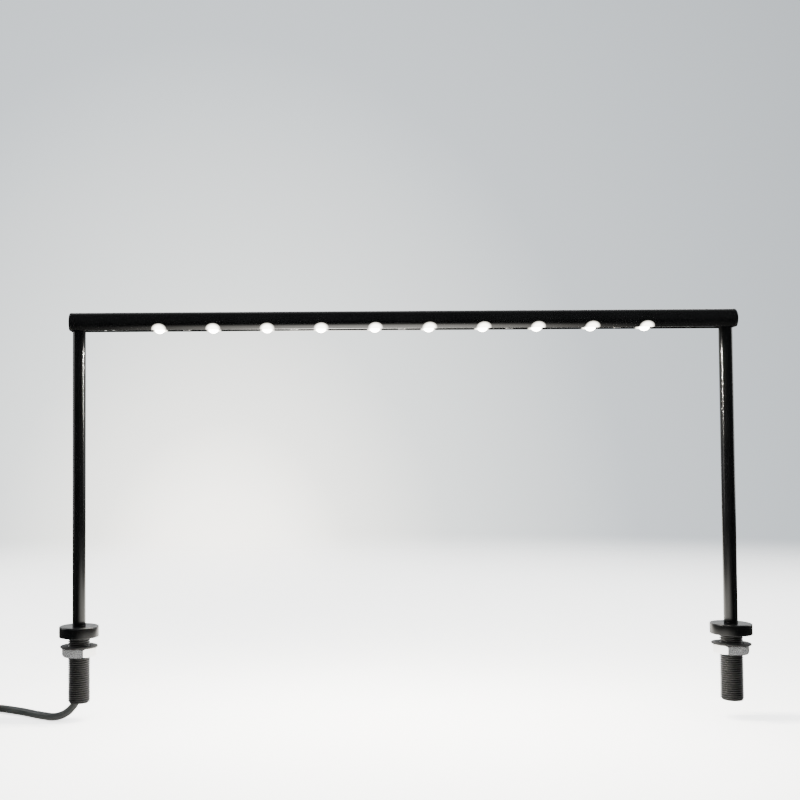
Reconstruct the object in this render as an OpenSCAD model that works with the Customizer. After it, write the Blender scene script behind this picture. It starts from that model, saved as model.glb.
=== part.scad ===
// LED light bar on two posts, clamped through a panel or tank cover. Millimetres, +Z up.
// Origin: on the panel's top face, midway between the two posts. +X runs along the light bar.
// The cord leaves the left stud, lies on the surface below and is folded into a tied hank.

/* [Lamp] */
// Distance between the axes of the two posts
post_spacing = 300; // [290:5:400]
// Height of the light bar's axis above the panel
bar_height = 145; // [100:5:250]
// Number of LEDs, always even because each resistor serves a pair
led_count = 10; // [4:2:10]
// Distance from one LED to the next
led_pitch = 25; // [20:1:27]

/* [Light bar] */
// Outside diameter of the bar
bar_d = 10; // [9.8:0.1:10.4]
// Distance from the bar's axis down to its flat underside
flat_drop = 3.6; // [3.5:0.1:3.8]
// How far the bar runs past each post's axis
bar_overhang = 4; // [4:0.5:8]
// Width of the slot that the LEDs look out of
slot_w = 5; // [4.8:0.1:5.2]
// Diameter of one lens
lens_d = 4.6; // [4:0.1:4.6]

/* [Posts] */
// Outside diameter of a post
post_d = 6; // [5.6:0.1:6.2]
// Bore of a post
post_bore = 4; // [3.6:0.1:4.4]

/* [Panel mount] */
// Diameter of the round collar that stands on the panel
collar_d = 18; // [14:0.5:24]
// Thickness of the collar
collar_t = 5; // [4:0.5:8]
// Outside diameter of the hollow threaded stud
stud_d = 10; // [10:0.1:10.4]
// Length of the stud below the panel's top face
stud_length = 30; // [24:1:36]
// Thickness of the panel that is clamped
panel_t = 4; // [1:0.5:12]
// Diameter of the washer under the panel
washer_d = 17; // [15:0.5:22]
// Thickness of the washer
washer_t = 0.7; // [0.5:0.1:1.5]
// Width of the hexagon nut across its flats
nut_flats = 14; // [13:0.5:17]
// Thickness of the nut
nut_t = 4; // [3:0.5:6]

/* [Cord] */
// Diameter of the cord
cord_d = 3.5; // [3:0.1:3.5]
// Length of the straight middle of the hank, between its two folded ends
hank_straight = 27; // [20:1:40]
// Layers of cord in the hank, always even so that both ends come out on its outside
hank_layers = 4; // [2:2:6]

/* [Hidden] */
$fn = 64;

half_span = post_spacing / 2;
LEFT = -1;
RIGHT = 1;
fit_gap = 0.02;        // radial gap of the bonded and screwed joints
thread_gap = 0.04;     // radial gap of the nut on its stud
small = 0.01;

// Light bar, heights measured from its axis
bar_r = bar_d / 2;
end_t = 1;             // thickness of an end plug's flange
end_chamfer = 0.3;
tube_half = half_span + bar_overhang - end_t;
channel_r = bar_r - 1; // wire channel above the web
web_top = -0.85;
groove_top = -1.85;
lip_t = 0.6;           // thickness of the lips beside the slot
board_z = -flat_drop + lip_t;
board_t = 1;
board_w = 6;
board_half = half_span - post_d / 2 - 0.5;
spigot_gap = 0.05;
spigot_length = 11;    // how far an end plug reaches in behind its flange
post_depth = 0.7;      // height of a post's top above the bar's axis
chamber_top = 2.6;     // the wires turn in the chamber above the post
wire_channel_z = 1.5;
wire_channel_r = 1.2;

// LEDs and small parts on the board
led_size = [3.5, 2.8, 0.7];
lens_skirt = 0.8;
lens_dome = 1.2;
dome_r = (pow(lens_d / 2, 2) + lens_dome * lens_dome) / (2 * lens_dome);
resistor_size = [3.2, 1.6, 0.5];
wire_r = 0.45;
wire_hole_r = 0.5;
web_hole_r = 0.8;
// Distance from the left post's axis to each wire's hole in the board
red_hole_x = 12;
black_hole_x = 16;
wire_side = 0.6;       // the wires lie this far to each side of the middle
splice_side = 1.2;

// Mounts
collar_edge = 0.5;
stud_depth = 2.5;      // how far the stud goes into the collar
post_seat = 6;         // how far the post goes into the stud, below the panel's top
stud_bore_r = 4;
stud_chamfer = 0.7;
washer_gap = 0.3;
washer_top = -panel_t;
nut_gap = 0.02;
nut_top = washer_top - washer_t - nut_gap;
nut_r = nut_flats / 2 / cos(30);
nut_turn = [-4, -4];   // how far each nut stands turned, left then right

// Cord, in x and y from the left stud's axis and z from the panel's top face
floor_z = -38.5;
cord_r = cord_d / 2;
cord_sides = 8;
cord_top = -14;
bush_top = -16;
bush_bottom = -24;
cord_route = [[0, 0, -14], [0, 0, -19], [0, 0, -24], [-0.4, 0, -27], [-1.5, 0, -29.8],
    [-3.2, 0, -32.4], [-5.6, 0, -34.6], [-8.6, 0, -36.1], [-12, 0.2, -36.7],
    [-16, 1.8, -36.7], [-20.5, 4.4, -36.7], [-26, 8.2, -36.7], [-33, 12, -36.6],
    [-40, 15.2, -36.5], [-47, 17.4, -36.4], [-54, 18.5, -36.3], [-61, 18.75, -36.25]];
hank_lift = 0.5;       // the tie passes under the hank
hank_bottom = floor_z + hank_lift;
hank_inner_r = 2.5 * cord_d;
hank_outer_r = hank_inner_r + 2 * cord_d;
hank_end = [-61, 18.75 - hank_outer_r];
hank_top = hank_bottom + hank_layers * cord_d;
// The tail's last stretch: x, y, and how far it has come down to the plug, from 0 to 1
tail_shape = [[0, 0, 0], [-5, 0, 0.02], [-10, -0.1, 0.12], [-15, -0.5, 0.3], [-20, -1.3, 0.52],
    [-25, -2.3, 0.75], [-30, -3.2, 0.92], [-35, -3.7, 0.99], [-38, -3.75, 1], [-41, -3.75, 1]];
tie_w = 6;
tie_t = 0.45;
tie_gap = 0.05;

// Plug, lying on the surface and pointing along -X
plug_r = 4.75;
tail_start = [hank_end[0] - hank_straight, hank_end[1] + hank_outer_r, hank_top - cord_r];
plug_axis = [tail_start[0] - 41, tail_start[1] - 3.75, floor_z + plug_r];
relief_length = 12;
relief_r = [2.3, 3.3];
relief_groove = 0.5;
relief_rings = 4;
plug_length = 20;
plug_shoulder = 4;
barrel_length = 9.5;
barrel_r = [2.35, 2.75];
insulator_r = [1.4, 2.3];
contact_r = [1.05, 1.35];
contact_recess = 0.3;

// ---- Helpers ----

function unit(v) = v / norm(v);
function direction(path, i) = unit(path[min(i + 1, len(path) - 1)] - path[max(i - 1, 0)]);

// The corners of one ring of a swept tube, square to the path
function ring(path, i, r, sides, up) =
    let (along = direction(path, i), across = unit(cross(up, along)), rise = cross(along, across))
    [for (k = [0 : sides - 1])
        path[i] + r * (cos(360 * k / sides) * across + sin(360 * k / sides) * rise)];

// A tube of one radius along a path that never runs parallel to the vector up
module swept_tube(path, r, sides, up) {
    last = (len(path) - 1) * sides;
    points = [for (i = [0 : len(path) - 1]) each ring(path, i, r, sides, up)];
    walls = [for (i = [0 : len(path) - 2], k = [0 : sides - 1])
        let (next = (k + 1) % sides)
        [i * sides + next, i * sides + k, (i + 1) * sides + k, (i + 1) * sides + next]];
    start_cap = [for (k = [0 : sides - 1]) k];
    end_cap = [for (k = [sides - 1 : -1 : 0]) last + k];
    polyhedron(points, concat([start_cap], walls, [end_cap]));
}

// Moves its children to a post's axis
module at_post(side) {
    translate([side * half_span, 0, 0]) children();
}

// Moves its children to the bar's axis height
module at_bar() {
    translate([0, 0, bar_height]) children();
}

// Extrudes a section drawn in Y and Z along X, from x0 to x1
module along_x(x0, x1) {
    translate([x0, 0, 0]) rotate([90, 0, 90]) linear_extrude(x1 - x0) children();
}

// A plain tube standing on z0
module tube_z(outer_r, inner_r, z0, z1) {
    translate([0, 0, z0]) difference() {
        cylinder(r = outer_r, h = z1 - z0);
        translate([0, 0, -1]) cylinder(r = inner_r, h = z1 - z0 + 2);
    }
}

// A round section cut off flat at height z, keeping what is above
module round_above(r, z) {
    intersection() {
        circle(r = r);
        translate([-r, z]) square([2 * r, 2 * r]);
    }
}

// ---- Light bar ----

// Aluminium extrusion: round, with a flat slotted underside, a board groove and a wire channel
module bar_section() {
    difference() {
        round_above(bar_r, -flat_drop);
        round_above(channel_r, web_top);
        translate([-board_w / 2 - 0.05, board_z]) square([board_w + 0.1, groove_top - board_z]);
        translate([-slot_w / 2, -flat_drop - 1]) square([slot_w, 1 + lip_t + small]);
    }
}

module bar_tube() {
    color("#17181a") at_bar() difference() {
        along_x(-tube_half, tube_half) bar_section();
        for (side = [LEFT, RIGHT])
            translate([side * half_span, 0, -bar_r]) cylinder(r = post_d / 2 + fit_gap, h = bar_r);
        wire_holes(web_hole_r, groove_top - small, web_top + small);
    }
}

// The two wire holes beside the left post, from z0 to z1 above the bar's axis
module wire_holes(r, z0, z1) {
    translate([red_hole_x - half_span, wire_side, z0]) cylinder(r = r, h = z1 - z0);
    translate([black_hole_x - half_span, -wire_side, z0]) cylinder(r = r, h = z1 - z0);
}

// Closes one end of the bar and holds the top of the post
module end_plug(side) {
    color("#141517") at_bar() at_post(side) scale([side, 1, 1]) difference() {
        union() {
            plug_flange();
            along_x(bar_overhang - end_t - spigot_length, bar_overhang - end_t + small)
                round_above(channel_r - spigot_gap, web_top + spigot_gap);
        }
        translate([0, 0, web_top]) cylinder(r = post_d / 2 + fit_gap, h = post_depth - web_top);
        cylinder(r = post_bore / 2, h = chamber_top);
        translate([-spigot_length - 1, 0, wire_channel_z]) rotate([0, 90, 0])
            cylinder(r = wire_channel_r, h = spigot_length + 1);
    }
}

// The visible end disc, with a chamfered rim and the bar's own flat
module plug_flange() {
    rim = end_t - end_chamfer;
    intersection() {
        along_x(bar_overhang - end_t, bar_overhang)
            translate([-bar_r - 1, -flat_drop]) square([bar_d + 2, bar_d + 2]);
        translate([bar_overhang - end_t, 0, 0]) rotate([0, 90, 0]) union() {
            cylinder(r = bar_r, h = rim);
            translate([0, 0, rim]) cylinder(r1 = bar_r, r2 = bar_r - end_chamfer, h = end_chamfer);
        }
    }
}

module left_end_plug() { end_plug(LEFT); }
module right_end_plug() { end_plug(RIGHT); }

module led_board() {
    color("#202224") at_bar() difference() {
        translate([-board_half, -board_w / 2, board_z]) cube([2 * board_half, board_w, board_t]);
        wire_holes(wire_hole_r, board_z - 1, board_z + board_t + 1);
    }
}

// Heat-conducting tape between the board and the bar's web
module board_tape() {
    color("#dcdcd4") at_bar() difference() {
        translate([-board_half, 0.2 - board_w / 2, board_z + board_t])
            cube([2 * board_half, board_w - 0.4, groove_top - board_z - board_t]);
        wire_holes(web_hole_r, board_z, groove_top + 1);
    }
}

// Places its children at each LED, at the height of the board's lower face
module at_leds() {
    for (i = [0 : led_count - 1])
        translate([(i - (led_count - 1) / 2) * led_pitch, 0, board_z]) children();
}

module led_emitters() {
    color("#f2e6a0") at_bar() at_leds()
        translate([-led_size[0] / 2, -led_size[1] / 2, -led_size[2]]) cube(led_size);
}

// A clear dome that fits over one LED
module lens() {
    difference() {
        union() {
            translate([0, 0, -lens_skirt]) cylinder(d = lens_d, h = lens_skirt);
            intersection() {
                translate([0, 0, dome_r - lens_skirt - lens_dome]) sphere(r = dome_r);
                translate([-lens_d, -lens_d, -lens_skirt - lens_d])
                    cube([2 * lens_d, 2 * lens_d, lens_d]);
            }
        }
        translate([-led_size[0] / 2 - 0.05, -led_size[1] / 2 - 0.05, -led_size[2] - 0.02])
            cube([led_size[0] + 0.1, led_size[1] + 0.1, led_size[2] + 1]);
    }
}

module led_lenses() {
    color("#fffbe6") at_bar() at_leds() lens();
}

// One resistor between the two LEDs of each pair
module chip_resistors() {
    color("#2a2a2c") at_bar() for (pair = [0 : led_count / 2 - 1])
        translate([(2 * pair + 0.5 - (led_count - 1) / 2) * led_pitch, 0, board_z])
            translate([-resistor_size[0] / 2, -resistor_size[1] / 2, -resistor_size[2]])
                cube(resistor_size);
}

// Solder on the board's lower face, where each wire comes through
module solder_joints() {
    color("#b9bcc0") at_bar() for (place = [[red_hole_x, 1], [black_hole_x, -1]])
        translate([place[0] - half_span, place[1] * wire_side, board_z - 0.5])
            cylinder(r1 = 0.5, r2 = 0.85, h = 0.5);
}

// One supply wire, from the cord's end up the left post and along to its hole in the board
function wire_path(side, hole_x) = [
    [0, side * 0.7, cord_top], [0, side * 0.7, cord_top + 0.4],
    [0, side * splice_side, cord_top + 1.2],
    [0, side * splice_side, -8], [0, side * wire_side, -5.4],
    [0, side * wire_side, bar_height - 1],
    [0.3, side * wire_side, bar_height + 0.6], [1, side * wire_side, bar_height + 1.3],
    [2, side * wire_side, bar_height + wire_channel_z],
    [hole_x - 1.4, side * wire_side, bar_height + wire_channel_z],
    [hole_x - 0.4, side * wire_side, bar_height + 1.1],
    [hole_x, side * wire_side, bar_height + 0.1],
    [hole_x, side * wire_side, bar_height + board_z]];

module supply_wire(side, hole_x) {
    at_post(LEFT) swept_tube(wire_path(side, hole_x), wire_r, 8, [0, 1, 0]);
}

module wire_red() { color("#b01818") supply_wire(1, red_hole_x); }
module wire_black() { color("#1c1c1c") supply_wire(-1, black_hole_x); }

// Shrink sleeves over the joints between the thin wires and the cord's cores
module wire_splices() {
    color("#111111") at_post(LEFT) for (side = [-1, 1])
        translate([0, side * splice_side, 0]) tube_z(0.75, wire_r + 0.02, -12.6, -8.4);
}

// ---- Posts and panel mounts ----

module post(side) {
    color("#17181a") at_post(side)
        tube_z(post_d / 2, post_bore / 2, -post_seat, bar_height + post_depth);
}

module left_post() { post(LEFT); }
module right_post() { post(RIGHT); }

// Half of the collar's section, with its upper and lower rims rounded
module collar_section() {
    r = collar_d / 2;
    difference() {
        union() {
            square([r - collar_edge, collar_t]);
            translate([0, collar_edge]) square([r, collar_t - 2 * collar_edge]);
            for (z = [collar_edge, collar_t - collar_edge])
                translate([r - collar_edge, z]) circle(r = collar_edge);
        }
        translate([-1, -1]) square([post_d / 2 + fit_gap + 1, collar_t + 2]);
        translate([-1, -1]) square([stud_d / 2 + fit_gap + 1, stud_depth + 1]);
    }
}

module collar(side) {
    color("#141517") at_post(side) rotate_extrude() collar_section();
}

module left_collar() { collar(LEFT); }
module right_collar() { collar(RIGHT); }

// Hollow stud, drawn at its thread's outer diameter: the post sits in its top
module stud(side) {
    r = stud_d / 2;
    color("#1b1b1b") at_post(side) difference() {
        union() {
            translate([0, 0, stud_chamfer - stud_length])
                cylinder(r = r, h = stud_length - stud_chamfer + stud_depth);
            translate([0, 0, -stud_length]) cylinder(r1 = r - stud_chamfer, r2 = r, h = stud_chamfer);
        }
        translate([0, 0, -stud_length - 1]) cylinder(r = stud_bore_r, h = stud_length - post_seat + 1);
        translate([0, 0, -post_seat - small]) cylinder(r = post_d / 2 + fit_gap, h = post_seat + 5);
    }
}

module left_stud() { stud(LEFT); }
module right_stud() { stud(RIGHT); }

module washer(side) {
    color("#101010") at_post(side)
        tube_z(washer_d / 2, stud_d / 2 + washer_gap, washer_top - washer_t, washer_top);
}

module left_washer() { washer(LEFT); }
module right_washer() { washer(RIGHT); }

// Thin hexagon nut with both ends chamfered
module nut(side, turn) {
    cut = 0.9;
    color("#c4c6c8") at_post(side) translate([0, 0, nut_top - nut_t]) difference() {
        intersection() {
            rotate([0, 0, turn]) cylinder(r = nut_r, h = nut_t, $fn = 6);
            union() {
                cylinder(r1 = nut_r - cut, r2 = nut_r, h = cut / 2);
                translate([0, 0, cut / 2]) cylinder(r = nut_r, h = nut_t - cut);
                translate([0, 0, nut_t - cut / 2]) cylinder(r1 = nut_r, r2 = nut_r - cut, h = cut / 2);
            }
        }
        translate([0, 0, -1]) cylinder(r = stud_d / 2 + thread_gap, h = nut_t + 2);
    }
}

module left_nut() { nut(LEFT, nut_turn[0]); }
module right_nut() { nut(RIGHT, nut_turn[1]); }

// Rubber bush that grips the cord inside the left stud
module cord_bush() {
    color("#222222") at_post(LEFT)
        tube_z(stud_bore_r - fit_gap, cord_r + fit_gap, bush_bottom, bush_top);
}

// ---- Cord ----

module power_cord() {
    color("#2b2f2d") at_post(LEFT) swept_tube(cord_route, cord_r, cord_sides, [0, 1, 0]);
}

// A long oval with rounded ends, drawn from the centre of its first end towards -X
function oval(r) = concat([for (a = [-90 : 15 : 90]) [r * cos(a), r * sin(a)]],
    [for (a = [90 : 15 : 270]) [r * cos(a) - hank_straight, r * sin(a)]]);

// The outer shape of the hank: layers of long turns, two side by side
module cord_hank() {
    color("#2b2f2d") at_post(LEFT) translate([hank_end[0], hank_end[1], hank_bottom])
        linear_extrude(hank_top - hank_bottom) difference() {
            polygon(oval(hank_outer_r + cord_r + small));
            polygon(oval(hank_inner_r - cord_r));
        }
}

// From the hank's top layer down to the plug
module cord_tail() {
    drop = plug_axis[2] - tail_start[2];
    color("#2b2f2d") at_post(LEFT) swept_tube([for (p = tail_shape)
        tail_start + [p[0], p[1], drop * p[2]]], cord_r, cord_sides, [0, 1, 0]);
}

// A strap round the middle of the hank
module cord_tie() {
    half = hank_outer_r + cord_r + 0.1;
    tall = hank_top - hank_bottom + 2 * tie_gap;
    color("#151515") at_post(LEFT)
        translate([hank_end[0] - hank_straight / 2, hank_end[1], (hank_top + hank_bottom) / 2])
            difference() {
                cube([tie_w, 2 * (half + tie_t), tall + 2 * tie_t], center = true);
                cube([tie_w + 1, 2 * half, tall], center = true);
            }
}

// ---- Plug ----

// Turns its children so that their +Z runs along the plug, and moves them dist along it
module on_plug(dist) {
    at_post(LEFT) translate(plug_axis) rotate([0, -90, 0]) translate([0, 0, dist]) children();
}

// Tapered strain relief with grooves that let it bend
module plug_relief() {
    step = relief_length / (2 * relief_rings + 1);
    color("#161616") on_plug(0) difference() {
        cylinder(r1 = relief_r[0], r2 = relief_r[1], h = relief_length);
        for (i = [1 : relief_rings]) {
            z = (2 * i - 1) * step;
            neck = relief_r[0] + (relief_r[1] - relief_r[0]) * z / relief_length - relief_groove;
            translate([0, 0, z]) tube_z(relief_r[1] + 1, neck, 0, step);
        }
    }
}

module plug_body() {
    color("#161616") on_plug(relief_length) {
        cylinder(r1 = relief_r[1] + 0.2, r2 = plug_r, h = plug_shoulder);
        translate([0, 0, plug_shoulder]) cylinder(r = plug_r, h = plug_length - plug_shoulder - 0.6);
        translate([0, 0, plug_length - 0.6]) cylinder(r1 = plug_r, r2 = plug_r - 0.6, h = 0.6);
    }
}

module plug_barrel() {
    color("#c8c8c8") on_plug(relief_length + plug_length)
        tube_z(barrel_r[1], barrel_r[0], 0, barrel_length);
}

module plug_insulator() {
    color("#202020") on_plug(relief_length + plug_length)
        tube_z(insulator_r[1], insulator_r[0], 0, barrel_length);
}

module plug_contact() {
    color("#d0b060") on_plug(relief_length + plug_length)
        tube_z(contact_r[1], contact_r[0], 0, barrel_length - contact_recess);
}

bar_tube();
left_end_plug();
right_end_plug();
led_board();
board_tape();
led_emitters();
led_lenses();
chip_resistors();
solder_joints();
wire_red();
wire_black();
wire_splices();
left_post();
right_post();
left_collar();
right_collar();
left_stud();
right_stud();
left_washer();
right_washer();
left_nut();
right_nut();
cord_bush();
power_cord();
cord_hank();
cord_tail();
cord_tie();
plug_relief();
plug_body();
plug_barrel();
plug_insulator();
plug_contact();
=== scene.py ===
import math

import bmesh
import bpy
from mathutils import Matrix, Vector


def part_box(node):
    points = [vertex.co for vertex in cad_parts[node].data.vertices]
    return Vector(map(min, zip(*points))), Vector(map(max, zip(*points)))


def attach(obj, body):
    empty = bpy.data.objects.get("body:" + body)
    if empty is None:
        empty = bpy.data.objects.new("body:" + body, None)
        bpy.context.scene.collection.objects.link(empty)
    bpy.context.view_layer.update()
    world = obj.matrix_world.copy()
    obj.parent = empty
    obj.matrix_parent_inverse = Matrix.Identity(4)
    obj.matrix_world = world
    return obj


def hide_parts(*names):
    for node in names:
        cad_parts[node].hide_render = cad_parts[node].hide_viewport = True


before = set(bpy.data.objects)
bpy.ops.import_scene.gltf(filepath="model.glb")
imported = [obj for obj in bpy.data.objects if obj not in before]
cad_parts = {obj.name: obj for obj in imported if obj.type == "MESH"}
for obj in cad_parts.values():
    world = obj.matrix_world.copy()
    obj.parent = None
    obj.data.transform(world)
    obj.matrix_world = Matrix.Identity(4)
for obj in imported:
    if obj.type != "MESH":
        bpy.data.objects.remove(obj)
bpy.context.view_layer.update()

MM = 0.001
scene = bpy.context.scene

# ---- Places that the CAD model gives, in millimetres ----


def span(node):
    """A CAD node's lowest and highest corners, in millimetres."""
    low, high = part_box(node)
    return low / MM, high / MM


def centre(node):
    """The middle of a CAD node's box, in millimetres."""
    low, high = span(node)
    return (low + high) / 2


def height(node):
    """A CAD node's lowest and highest z, in millimetres."""
    low, high = span(node)
    return low.z, high.z


POST_X = {"left": centre("left_post").x, "right": centre("right_post").x}
POST_R = (span("left_post")[1].x - span("left_post")[0].x) / 2
BAR_TOP = height("bar_tube")[1]
BAR_R = round((span("bar_tube")[1].y - span("bar_tube")[0].y) / 2, 1)
BAR_Z = BAR_TOP - BAR_R
BAR_HALF = span("bar_tube")[1].x
FLAT_Z = height("bar_tube")[0] - BAR_Z    # the flat underside, from the bar's axis
FLOOR_Z = height("cord_tie")[0]
STUD_R = round((span("left_stud")[1].x - span("left_stud")[0].x) / 2, 1)
LED_COUNT = 10
LED_PITCH = 25
FIT = 0.02    # clearance round a part that sits in another one

# ---- Camera ----

CAMERA_PLACE = (-48.1, -434.9, 72.6)
CAMERA_TURN = (91.63, 0.32, 0.31)    # degrees
CAMERA_LENS = 42.26
CAMERA_SHIFT = (0.1325, 0.064)


def add_camera():
    data = bpy.data.cameras.new("camera")
    data.lens = CAMERA_LENS
    data.shift_x, data.shift_y = CAMERA_SHIFT
    data.clip_start = 0.01
    data.clip_end = 100
    camera = bpy.data.objects.new("camera", data)
    camera.location = Vector(CAMERA_PLACE) * MM
    camera.rotation_euler = [math.radians(a) for a in CAMERA_TURN]
    scene.collection.objects.link(camera)
    scene.camera = camera


add_camera()

# ---- Materials ----

RANGE_SOCKETS = ("From Min", "From Max", "To Min", "To Max")
NOISE_RANGE = (0.3, 0.7)    # where nearly all noise values lie


class Nodes:
    """A node tree that grows by short calls."""

    def __init__(self, tree):
        self.tree = tree

    def node(self, kind, **settings):
        made = self.tree.nodes.new(kind)
        for key, value in settings.items():
            setattr(made, key, value)
        return made

    def link(self, output, target):
        self.tree.links.new(output, target)

    def compute(self, operation, *values):
        """A Math node on numbers or other nodes' outputs."""
        step = self.node("ShaderNodeMath", operation=operation)
        for socket, value in zip(step.inputs, values):
            if isinstance(value, (int, float)):
                socket.default_value = value
            else:
                self.link(value, socket)
        return step.outputs[0]

    def spread(self, value, numbers, interpolation="SMOOTHSTEP"):
        """Maps a value from the first two numbers onto the last two."""
        made = self.node("ShaderNodeMapRange", interpolation_type=interpolation)
        for socket, number in zip(RANGE_SOCKETS, numbers):
            made.inputs[socket].default_value = number
        self.link(value, made.inputs["Value"])
        return made.outputs["Result"]

    def mix(self, share, first, second):
        """A mixture of two shaders."""
        made = self.node("ShaderNodeMixShader")
        for socket, value in zip(made.inputs, (share, first, second)):
            self.link(value, socket)
        return made.outputs[0]


class Shader(Nodes):
    """A node material: a Principled shader with procedural colour, roughness and bump."""

    def __init__(self, material):
        material.use_nodes = True
        super().__init__(material.node_tree)
        self.material = material
        self.principled = self.tree.nodes["Principled BSDF"]

    def set(self, **values):
        for socket, value in values.items():
            self.principled.inputs[socket.replace("_", " ")].default_value = value
        return self

    def coordinates(self, stretch=(1, 1, 1), use_uv=False):
        """Object or UV coordinates, scaled to millimetres and stretched."""
        source = self.node("ShaderNodeTexCoord").outputs["UV" if use_uv else "Object"]
        mapping = self.node("ShaderNodeMapping")
        scale = 1 if use_uv else 1 / MM
        mapping.inputs["Scale"].default_value = [scale * s for s in stretch]
        self.link(source, mapping.inputs["Vector"])
        return mapping.outputs["Vector"]

    def place(self):
        """Separate X, Y and Z outputs of the object coordinates, in millimetres."""
        split = self.node("ShaderNodeSeparateXYZ")
        self.link(self.coordinates(), split.inputs[0])
        return split.outputs

    def noise(self, vector, size, detail=3.0):
        """Noise whose features are about size millimetres across."""
        texture = self.node("ShaderNodeTexNoise")
        texture.inputs["Scale"].default_value = 1 / size
        texture.inputs["Detail"].default_value = detail
        self.link(vector, texture.inputs["Vector"])
        return texture.outputs["Fac"]

    def colours(self, value, low, high):
        """Maps a noise value onto a range between two colours."""
        made = self.node("ShaderNodeValToRGB")
        for stop, place, colour in zip(made.color_ramp.elements, NOISE_RANGE, (low, high)):
            stop.position = place
            stop.color = (*colour, 1)
        self.link(value, made.inputs["Fac"])
        return made.outputs["Color"]

    def bump(self, value, depth):
        """Bumps of a depth in millimetres."""
        made = self.node("ShaderNodeBump")
        made.inputs["Strength"].default_value = 1.0
        made.inputs["Distance"].default_value = depth * MM
        self.link(value, made.inputs["Height"])
        self.link(made.outputs["Normal"], self.principled.inputs["Normal"])


def shade(colour, factor):
    """A colour made darker or lighter by a factor."""
    return tuple(min(1.0, c * factor) for c in colour)


def surface(name, colour, roughness, grain, size, depth, vary, patch=12.0, use_uv=False,
            **settings):
    """A material with fine grain, larger soft patches, and its roughness following both."""
    made = Shader(bpy.data.materials.new(name)).set(**settings)
    fine = made.noise(made.coordinates(grain, use_uv), size)
    broad = made.noise(made.coordinates(), patch, 2.0)
    both = made.compute("MULTIPLY_ADD", fine, 0.5, made.compute("MULTIPLY", broad, 0.5))
    tint = made.colours(both, shade(colour, 1 - vary), shade(colour, 1 + vary))
    made.link(tint, made.principled.inputs["Base Color"])
    rough = made.spread(both, (*NOISE_RANGE, roughness * 0.85, roughness * 1.15), "LINEAR")
    made.link(rough, made.principled.inputs["Roughness"])
    made.bump(fine, depth)
    return made.material


BLACK = (0.0009, 0.00095, 0.00105)
# Grain directions: how fast the grain changes along each axis
EVEN = (1, 1, 1)
ALONG_X = (0.012, 1, 1)
ALONG_Z = (1, 1, 0.012)
UPRIGHT = (1, 1, 0.25)
TURNED = (0.5, 6, 1)

# Colour, roughness, grain direction, grain size and depth in millimetres, how much the colour
# varies, and other settings
SURFACES = {
    "anodised_bar": (BLACK, 0.2, ALONG_X, 0.3, 0.0004, 0.35, {"Specular_IOR_Level": 0.5}),
    "anodised_post": (BLACK, 0.2, ALONG_Z, 0.3, 0.0004, 0.35, {"Specular_IOR_Level": 0.22}),
    "anodised_cap": (shade(BLACK, 1.1), 0.32, TURNED, 0.5, 0.002, 0.3,
                     {"use_uv": True, "Specular_IOR_Level": 0.35}),
    "collar_black": (shade(BLACK, 0.95), 0.2, TURNED, 0.5, 0.001, 0.3,
                     {"use_uv": True, "Specular_IOR_Level": 0.14}),
    "collar_edge": (shade(BLACK, 2.2), 0.22, TURNED, 0.5, 0.001, 0.5,
                    {"use_uv": True, "Specular_IOR_Level": 0.5}),
    "bare_edge": ((0.62, 0.62, 0.63), 0.3, EVEN, 0.2, 0.002, 0.12, {"Metallic": 1.0}),
    "stud_black": ((0.002, 0.002, 0.002), 0.36, EVEN, 0.18, 0.003, 0.4,
                   {"patch": 5.0, "Specular_IOR_Level": 0.5}),
    # The crest material's lighter colour is a painted highlight along the thread
    "stud_crest_painted_highlight": ((0.03, 0.029, 0.028), 0.33, EVEN, 0.12, 0.004, 0.6,
                   {"patch": 3.0, "Metallic": 0.35}),
    "washer_black": ((0.006, 0.006, 0.006), 0.62, EVEN, 0.12, 0.006, 0.35,
                     {"Specular_IOR_Level": 0.4}),
    "nut_metal": ((0.62, 0.62, 0.625), 0.2, UPRIGHT, 0.18, 0.002, 0.14,
                  {"patch": 4.0, "Metallic": 0.9}),
    "bush_rubber": ((0.018, 0.018, 0.018), 0.7, EVEN, 0.15, 0.006, 0.3, {}),
    "board": ((0.024, 0.025, 0.027), 0.42, EVEN, 0.15, 0.003, 0.25, {"Specular_IOR_Level": 0.5}),
    "pad": ((0.72, 0.7, 0.66), 0.33, EVEN, 0.2, 0.004, 0.12, {"Metallic": 0.9}),
    "tape": ((0.7, 0.7, 0.67), 0.6, EVEN, 0.25, 0.004, 0.08, {}),
    "chip": ((0.03, 0.03, 0.032), 0.45, EVEN, 0.1, 0.002, 0.2, {}),
    "solder": ((0.2, 0.205, 0.21), 0.5, EVEN, 0.3, 0.01, 0.12, {"Metallic": 0.8}),
    "wire_red": ((0.42, 0.015, 0.015), 0.35, EVEN, 0.2, 0.002, 0.1, {}),
    "wire_black": ((0.012, 0.012, 0.012), 0.35, EVEN, 0.2, 0.002, 0.3, {}),
    "sleeve": ((0.012, 0.012, 0.012), 0.5, EVEN, 0.2, 0.004, 0.3, {}),
    "cord_jacket": ((0.013, 0.0145, 0.0135), 0.42, EVEN, 0.3, 0.012, 0.25,
                    {"patch": 9.0, "Specular_IOR_Level": 0.5}),
    "tie_black": ((0.012, 0.012, 0.012), 0.6, EVEN, 0.22, 0.03, 0.5, {}),
    "plug_black": ((0.013, 0.013, 0.0135), 0.5, EVEN, 0.14, 0.006, 0.3, {}),
    "plug_metal": ((0.72, 0.71, 0.69), 0.2, TURNED, 0.5, 0.001, 0.1,
                   {"use_uv": True, "Metallic": 1.0}),
    "plug_inner": ((0.02, 0.02, 0.021), 0.5, EVEN, 0.2, 0.004, 0.3, {}),
    "contact_metal": ((0.72, 0.57, 0.3), 0.27, EVEN, 0.2, 0.002, 0.12, {"Metallic": 1.0}),
}
MATERIALS = {name: surface(name, *row, **settings) for name, (*row, settings) in SURFACES.items()}


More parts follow.
